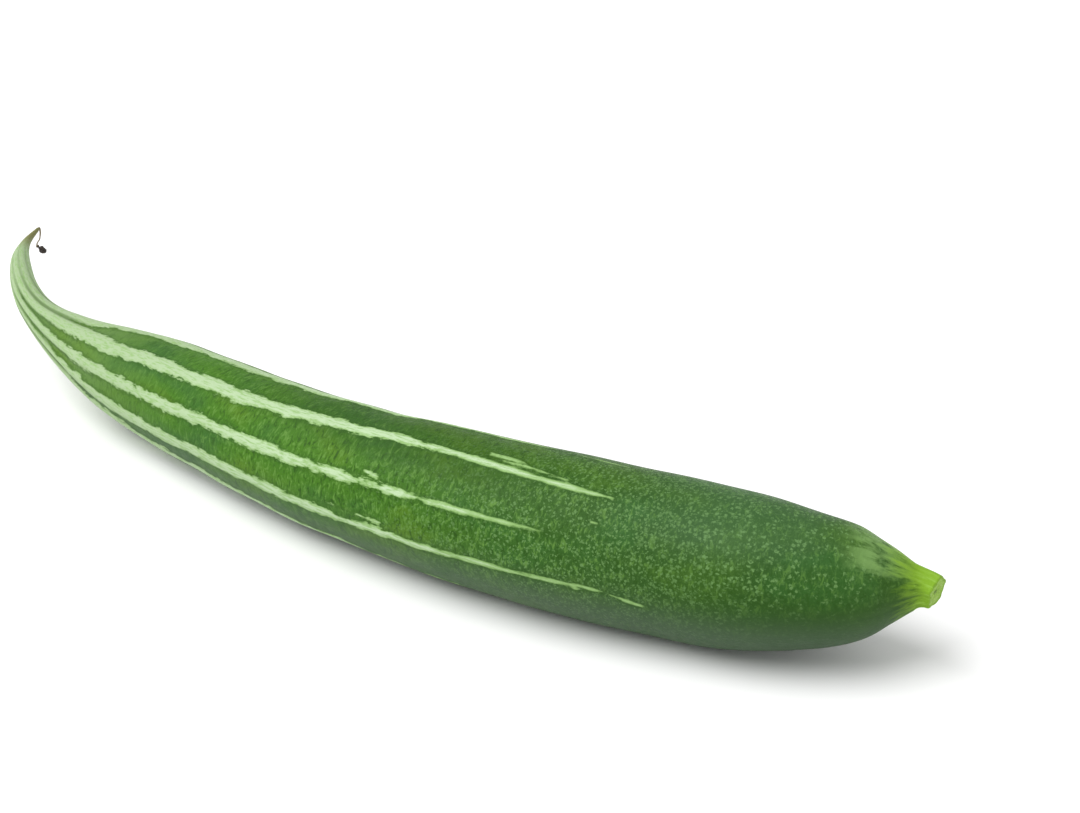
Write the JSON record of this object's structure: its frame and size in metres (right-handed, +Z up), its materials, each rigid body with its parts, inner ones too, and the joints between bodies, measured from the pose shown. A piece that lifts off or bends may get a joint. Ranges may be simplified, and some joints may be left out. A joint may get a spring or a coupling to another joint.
{
  "type": "snake gourd",
  "caption": "Fresh snake gourd lying on its side: a long bowed green fruit with pale stripes, a thin hooked tail and a cut stalk stub.",
  "frame": {"origin": "centre of the whole object's bounding box in plan, on the surface it lies on", "axes": "+X along the fruit from the hooked tail tip to the stem end, +Z up, the bow of the fruit bulges towards -Y"},
  "size_m": [0.4152, 0.0812, 0.0492],
  "materials": {
    "gourd_skin": "fresh waxy green skin with ragged pale stripes from the tail to mid length and fine pale speckles towards the stem, soft sheen",
    "cut_stalk": "moist lime green stalk with a pale cut face, satin",
    "dried_flower": "dry dark brown, matt"
  },
  "bodies": {
    "root": {"fruit": "gourd_skin", "stem_stub": "cut_stalk", "withered_flower": "dried_flower"}
  },
  "joints": []
}
